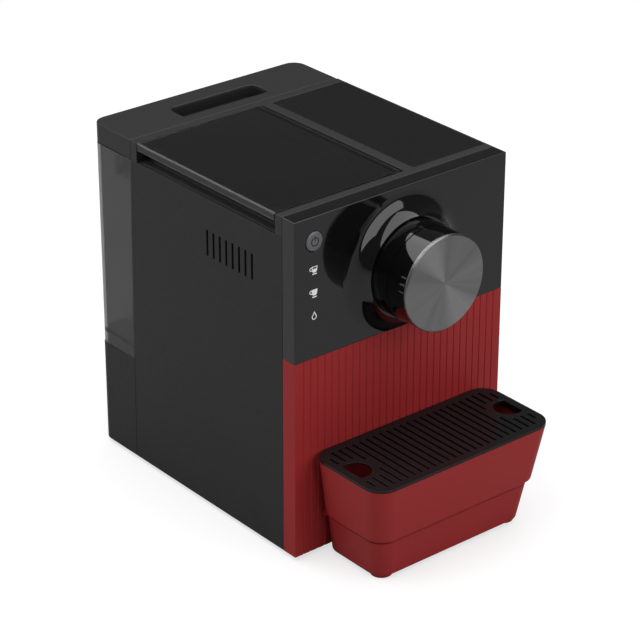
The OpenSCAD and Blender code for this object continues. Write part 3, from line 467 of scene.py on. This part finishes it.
# the collar stops where the red panel begins
cut = bmesh.ops.bisect_plane(bm, geom=bm.verts[:] + bm.edges[:] + bm.faces[:], dist=1e-7,
    plane_co=(0, 0, collarLow.z), plane_no=(0, 0, 1), clear_inner=True)
rim = [e for e in cut["geom_cut"] if isinstance(e, bmesh.types.BMEdge)]
if rim:
    bmesh.ops.holes_fill(bm, edges=rim, sides=0)
bmesh.ops.recalc_face_normals(bm, faces=bm.faces)
finishPiece(bm, "headCollar", "headGloss", "housing", ["head_collar"])
grooveRadius = barrelRadius - headSizes["groove"]
barrelProfile = [(inner, barrelHigh.y), (grooveRadius, barrelHigh.y),
    (grooveRadius, barrelHigh.y - headSizes["grooveFloor"]),
    (barrelRadius, barrelHigh.y - headSizes["grooveEnd"]),
    (barrelRadius, barrelLow.y), (inner, barrelLow.y)]
turned("headBarrel", barrelProfile, axisPoint, "y", headSizes["steps"], "headGloss", "housing",
    ["head_barrel"])
softened("cap_shell", "turningCap", "headGloss", headSizes["capEdge"], 2)
# the disc's fan of lighter and darker wedges in the colour is a painted sheen; mottle sets how strongly it
# and the rings shade the colour
discLook = {"colour": (0.22, 0.22, 0.22), "metallic": 1, "roughness": 0.34, "spread": 0.05,
    "ringWidth": 0.14 * mm, "paintedSheenScale": 1.3, "paintedSheenShare": 0.6, "mottle": 0.4, "anisotropic": 0.85,
    "bump": 0.25}
finishes["steelDisc"] = brushedDisc("steelDisc", discLook, axisPoint)
discProfile = [(0, discLow.y), (discRadius - headSizes["rim"], discLow.y),
    (discRadius, discLow.y + headSizes["rim"]), (discRadius, discHigh.y), (0, discHigh.y)]
bm = turned("brushedDisc", discProfile, axisPoint, "y", headSizes["steps"], None, None, (),
    headSizes["discEdge"], 3, closed=False)
# radius and angle as the map, so that the sheen follows the rings
uvs = bm.loops.layers.uv.new("discUv")
for face in bm.faces:
    c = face.calc_center_median()
    base = math.atan2(c.z - axisPoint.z, c.x)
    for loop in face.loops:
        p = loop.vert.co
        reach = math.hypot(p.x, p.z - axisPoint.z)
        turn = base if reach < 1e-6 else math.atan2(p.z - axisPoint.z, p.x)
        turn += 2 * math.pi * round((base - turn) / (2 * math.pi))
        loop[uvs].uv = (reach / discRadius, turn / (2 * math.pi))
finishPiece(bm, "brushedDisc", "steelDisc", "cap", ["cap_disc"])
softened("coffee_spout", "coffeeSpout", "trayInner", headSizes["spoutEdge"], 2)
print("head made")

# ---- button
buttonLow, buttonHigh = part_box("power_button")
buttonSizes = {"face": 6.6 * mm, "faceRim": 0.9 * mm, "rimDeep": 0.5 * mm, "flange": 1.5 * mm,
    "edge": 0.25 * mm, "steps": 64}
buttonRadius = (buttonHigh.x - buttonLow.x) / 2
flangeFront = buttonHigh.y - buttonSizes["flange"]
buttonProfile = [(0, buttonLow.y), (buttonSizes["face"] - buttonSizes["faceRim"], buttonLow.y),
    (buttonSizes["face"], buttonLow.y + buttonSizes["rimDeep"]), (buttonSizes["face"], flangeFront),
    (buttonRadius, flangeFront), (buttonRadius, buttonHigh.y), (0, buttonHigh.y)]
turned("powerButton", buttonProfile, middleOf("power_button"), "y", buttonSizes["steps"], "buttonGrey",
    "button", ["power_button"], buttonSizes["edge"], 3, closed=False)
print("button made")

# ---- hopper, lid, tank
lidSizes = {"chamfer": 1 * mm, "band": 0.1 * mm, "edge": 0.15 * mm, "hopperEdge": 0.4 * mm}
lidLow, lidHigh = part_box("hopper_lid")
bm = copied("hopper_lid")
roundEdges(bm, lidSizes["chamfer"], 1,
    lambda p: p.x < lidLow.x + lidSizes["band"] and p.z > lidHigh.z - lidSizes["band"])
roundEdges(bm, lidSizes["edge"], 2)
finishPiece(bm, "hopperLid", "smokedClear", "lid", ["hopper_lid"])
# the hopper's lighter colour is painted light in the shaded gap under the lid
softened("bean_hopper", "beanHopper", "hopperGrey", lidSizes["hopperEdge"], 2)

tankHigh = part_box("water_tank")[1]
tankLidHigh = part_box("tank_lid")[1]
tankSizes = {"edge": 0.4 * mm, "lidEdge": 0.7 * mm, "gripHalf": 37 * mm, "gripRound": 6 * mm, "gripSteps": 6,
    "gripFront": tankLidHigh.y - 35.2 * mm, "gripBack": tankLidHigh.y - 16.6 * mm, "gripDeep": 8.95 * mm,
    "linerPlay": 0.05 * mm, "linerTop": 1.2 * mm, "linerWall": 0.5 * mm,
    "pegBack": 29.6 * mm, "pegDown": 13 * mm, "ringFace": 86.3 * mm, "ringRadius": 3.6 * mm,
    "ringWall": 1.1 * mm, "ringDeep": 1.2 * mm, "ringEdge": 0.35 * mm, "ringSteps": 48}
softened("water_tank", "waterTank", "tankClear", tankSizes["edge"], 3)
softened("tank_lid", "tankLid", "frameBlack", tankSizes["lidEdge"], 3)


def gripOutline(inset, z):
    # the handle recess: square at the front, round at the back
    half, r = tankSizes["gripHalf"] - inset, tankSizes["gripRound"] - inset
    front, back = tankSizes["gripFront"] + inset, tankSizes["gripBack"] - inset
    points = [(-half, front), (half, front)]
    for middleX, start in ((half - r, 0), (r - half, math.pi / 2)):
        for k in range(tankSizes["gripSteps"] + 1):
            turn = start + math.pi / 2 * k / tankSizes["gripSteps"]
            points.append((middleX + r * math.cos(turn), back - r + r * math.sin(turn)))
    return [Vector((x, y, z)) for x, y in points]


# a dark insert lines the recess
bm = bmesh.new()
rings = []
linerOut = tankSizes["linerPlay"]
linerIn = linerOut + tankSizes["linerWall"]
for inset, drop in ((linerOut, tankSizes["gripDeep"]), (linerOut, tankSizes["linerTop"]),
        (linerIn, tankSizes["linerTop"]), (linerIn, tankSizes["gripDeep"] - tankSizes["linerWall"])):
    points = [bm.verts.new(p) for p in gripOutline(inset, tankLidHigh.z - drop)]
    rings.append([bm.edges.new(pair) for pair in zip(points, points[1:] + points[:1])])
for lower, upper in zip(rings, rings[1:]):
    bmesh.ops.bridge_loops(bm, edges=lower + upper)
bmesh.ops.holes_fill(bm, edges=rings[0] + rings[-1], sides=0)
bmesh.ops.recalc_face_normals(bm, faces=bm.faces)
finishPiece(bm, "gripLiner", "trayInner", "tank_lid")

# a ring holds each of the lid's pegs
ringMiddle = Vector((0, tankHigh.y - tankSizes["pegBack"], tankHigh.z - tankSizes["pegDown"]))
outer, bore = tankSizes["ringRadius"], tankSizes["ringRadius"] - tankSizes["ringWall"]
for name, s in (("pegRingLeft", -1), ("pegRingRight", 1)):
    face, back = s * tankSizes["ringFace"], s * (tankSizes["ringFace"] - tankSizes["ringDeep"])
    turned(name, [(bore, face), (outer, face), (outer, back), (bore, back)], ringMiddle, "x",
        tankSizes["ringSteps"], "buttonGrey", "tank_lid", (), tankSizes["ringEdge"], 3)
print("hopper and tank made")

# ---- tray
traySizes = {"edge": 0.6 * mm, "seam": 0.12 * mm, "plinthBand": 1 * mm, "trayBand": 6 * mm,
    "lipInset": 0.35 * mm, "lipPlay": 0.05 * mm, "lipBack": 1 * mm, "corner": 12 * mm, "cornerSteps": 9,
    "footEdge": 0.35 * mm, "frontFeetReach": 20 * mm, "grilleEdge": 0.25 * mm, "carrierEdge": 0.3 * mm,
    "binEdge": 0.5 * mm}
plinthLow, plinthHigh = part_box("tray_plinth")
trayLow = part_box("drip_tray")[0]
softened("tray_plinth", "trayPlinth", "redShell", traySizes["edge"], 3,
    lambda p: p.z < plinthHigh.z - traySizes["plinthBand"], traySizes["seam"])
softened("drip_tray", "dripTray", "redShell", traySizes["edge"], 3,
    lambda p: p.z > trayLow.z + traySizes["trayBand"], traySizes["seam"])
# a lip on the plinth closes most of the gap under the tray
half, front = plinthHigh.x - traySizes["lipInset"], plinthLow.y + traySizes["lipInset"]
r = traySizes["corner"]
back = plinthHigh.y - traySizes["lipBack"]
turns = [math.pi / 2 * k / traySizes["cornerSteps"] for k in range(traySizes["cornerSteps"] + 1)]
corner = [(math.cos(turn), math.sin(turn)) for turn in turns]
outline = [(half, back), (-half, back)] \
    + [(r - half - r * c, front + r - r * s) for c, s in corner] \
    + [(half - r + r * s, front + r - r * c) for c, s in corner]
bm = bmesh.new()
base = bm.faces.new([bm.verts.new((x, y, plinthHigh.z)) for x, y in outline])
grown = bmesh.ops.extrude_face_region(bm, geom=[base])
bmesh.ops.translate(bm, vec=(0, 0, trayLow.z - traySizes["lipPlay"] - plinthHigh.z),
    verts=[v for v in grown["geom"] if isinstance(v, bmesh.types.BMVert)])
bmesh.ops.recalc_face_normals(bm, faces=bm.faces)
finishPiece(bm, "plinthLip", "redShell", "housing")
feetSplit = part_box("rubber_feet")[0].y + traySizes["frontFeetReach"]
for name, finish, keep in (("frontFeet", "redShell", lambda v: v.co.y < feetSplit),
        ("rearFeet", "footRubber", lambda v: v.co.y > feetSplit)):
    bm = copied("rubber_feet")
    bmesh.ops.delete(bm, geom=[v for v in bm.verts if not keep(v)], context="VERTS")
    roundEdges(bm, traySizes["footEdge"], 3)
    finishPiece(bm, name, finish, "housing", ["rubber_feet"])
softened("drip_grille", "dripGrille", "grilleGloss", traySizes["grilleEdge"], 2)
softened("drawer_carrier", "drawerCarrier", "trayInner", traySizes["carrierEdge"], 2)
softened("grounds_bin", "groundsBin", "trayInner", traySizes["binEdge"], 3)
print("tray made")

# ---- finishes on the CAD nodes that stay
nodeFinish = {"tank_socket": "trayInner", "power_inlet": "trayInner",
    "inlet_pins": "steelPart", "mid_plate": "motorCan", "drawer_guides": "trayInner",
    "case_screws": "steelPart",
    "cap_ticks": "tickPrint", "power_symbol": "panelDark", "button_spring": "springSteel",
    "touch_icons": "whitePrint", "touch_board": "circuitFlat", "lid_hinge_pins": "steelPart",
    "hopper_seal": "sealRubber", "grind_dial": "buttonGrey", "grinder_body": "trayInner",
    "upper_burr": "steelPart", "lower_burr": "steelPart", "grinder_shaft": "steelPart",
    "grinder_motor": "motorCan", "grounds_chute": "trayInner", "brew_frame": "trayInner",
    "brew_chamber": "whitePlastic", "lower_piston": "steelPart", "upper_piston": "steelPart",
    "piston_seal": "sealRubber", "lead_screw": "steelPart", "screw_gear": "whitePlastic",
    "motor_pinion": "brassGear", "brew_motor": "motorCan", "thermoblock": "castBlock", "pump": "motorCan",
    "pump_mounts": "footRubber", "flow_meter": "whitePlastic", "water_hoses": "hoseSilicone",
    "control_board": "circuitGreen"}
for node, title in nodeFinish.items():
    for materialSlot in frame["nodes"][node].material_slots:
        materialSlot.material = finishes[title]
print("finishes given to", len(nodeFinish), "kept nodes")

# ---- stage and light
def seenApart(tree, others, seen, output):
    # the camera, also through clear walls, sees one shader and the light meets the other
    path = addNode(tree, "LightPath")
    seenRays = addNode(tree, "Math", operation="MAXIMUM")
    tree.links.new(path.outputs["Is Camera Ray"], seenRays.inputs[0])
    tree.links.new(path.outputs["Is Transmission Ray"], seenRays.inputs[1])
    chosen = addNode(tree, "MixShader")
    tree.links.new(seenRays.outputs[0], chosen.inputs[0])
    tree.links.new(others.outputs[0], chosen.inputs[1])
    tree.links.new(seen.outputs[0], chosen.inputs[2])
    tree.links.new(chosen.outputs[0], output.inputs["Surface"])


stageLook = {"size": 6, "bounce": 0.4, "seen": 0.35, "lift": 0.65, "air": 0.1}
bm = bmesh.new()
bmesh.ops.create_grid(bm, x_segments=1, y_segments=1, size=stageLook["size"] / 2)
floorMesh = bpy.data.meshes.new("paleFloor")
bm.to_mesh(floorMesh)
bm.free()
floor = bpy.data.objects.new("paleFloor", floorMesh)
bpy.context.scene.collection.objects.link(floor)
floorMaterial = bpy.data.materials.new("paleFloor")
floorMaterial.use_nodes = True
tree = floorMaterial.node_tree
tree.nodes.clear()
dull = addNode(tree, "BsdfDiffuse", Color=(*[stageLook["bounce"]] * 3, 1))
pale = addNode(tree, "BsdfDiffuse", Color=(*[stageLook["seen"]] * 3, 1))
glow = addNode(tree, "Emission", Color=(1, 1, 1, 1), Strength=stageLook["lift"])
added = addNode(tree, "AddShader")
tree.links.new(pale.outputs[0], added.inputs[0])
tree.links.new(glow.outputs[0], added.inputs[1])
seenApart(tree, dull, added, addNode(tree, "OutputMaterial"))
floorMesh.materials.append(floorMaterial)

world = bpy.data.worlds.new("studioAir")
bpy.context.scene.world = world
world.use_nodes = True
tree = world.node_tree
tree.nodes.clear()
grey = addNode(tree, "Background", Color=(1, 1, 1, 1), Strength=stageLook["air"])
white = addNode(tree, "Background", Color=(1, 1, 1, 1), Strength=1)
seenApart(tree, grey, white, addNode(tree, "OutputWorld"))

softboxes = {
    "overhead": {"place": (-0.135, 0.15, 1.35), "aim": (-0.035, 0.1, 0), "size": (1.87, 2.9), "power": 42},
    "frontFill": {"place": (0.35, -2.3, 1.0), "aim": (0, 0, 0.1), "size": (2.4, 1.6), "power": 31},
    "leftFill": {"place": (-2.2, 1.5, 0.9), "aim": (0, 0, 0.1), "size": (2.0, 1.6), "power": 14},
}
for title, box in softboxes.items():
    lamp = bpy.data.lights.new(title, "AREA")
    lamp.shape = "RECTANGLE"
    lamp.size, lamp.size_y = box["size"]
    lamp.energy = box["power"]
    holder = bpy.data.objects.new(title, lamp)
    holder.location = box["place"]
    holder.rotation_euler = (Vector(box["aim"]) - Vector(box["place"])).to_track_quat("-Z", "Y").to_euler()
    bpy.context.scene.collection.objects.link(holder)
bpy.context.scene.view_settings.view_transform = "Standard"
print("stage and light ready")
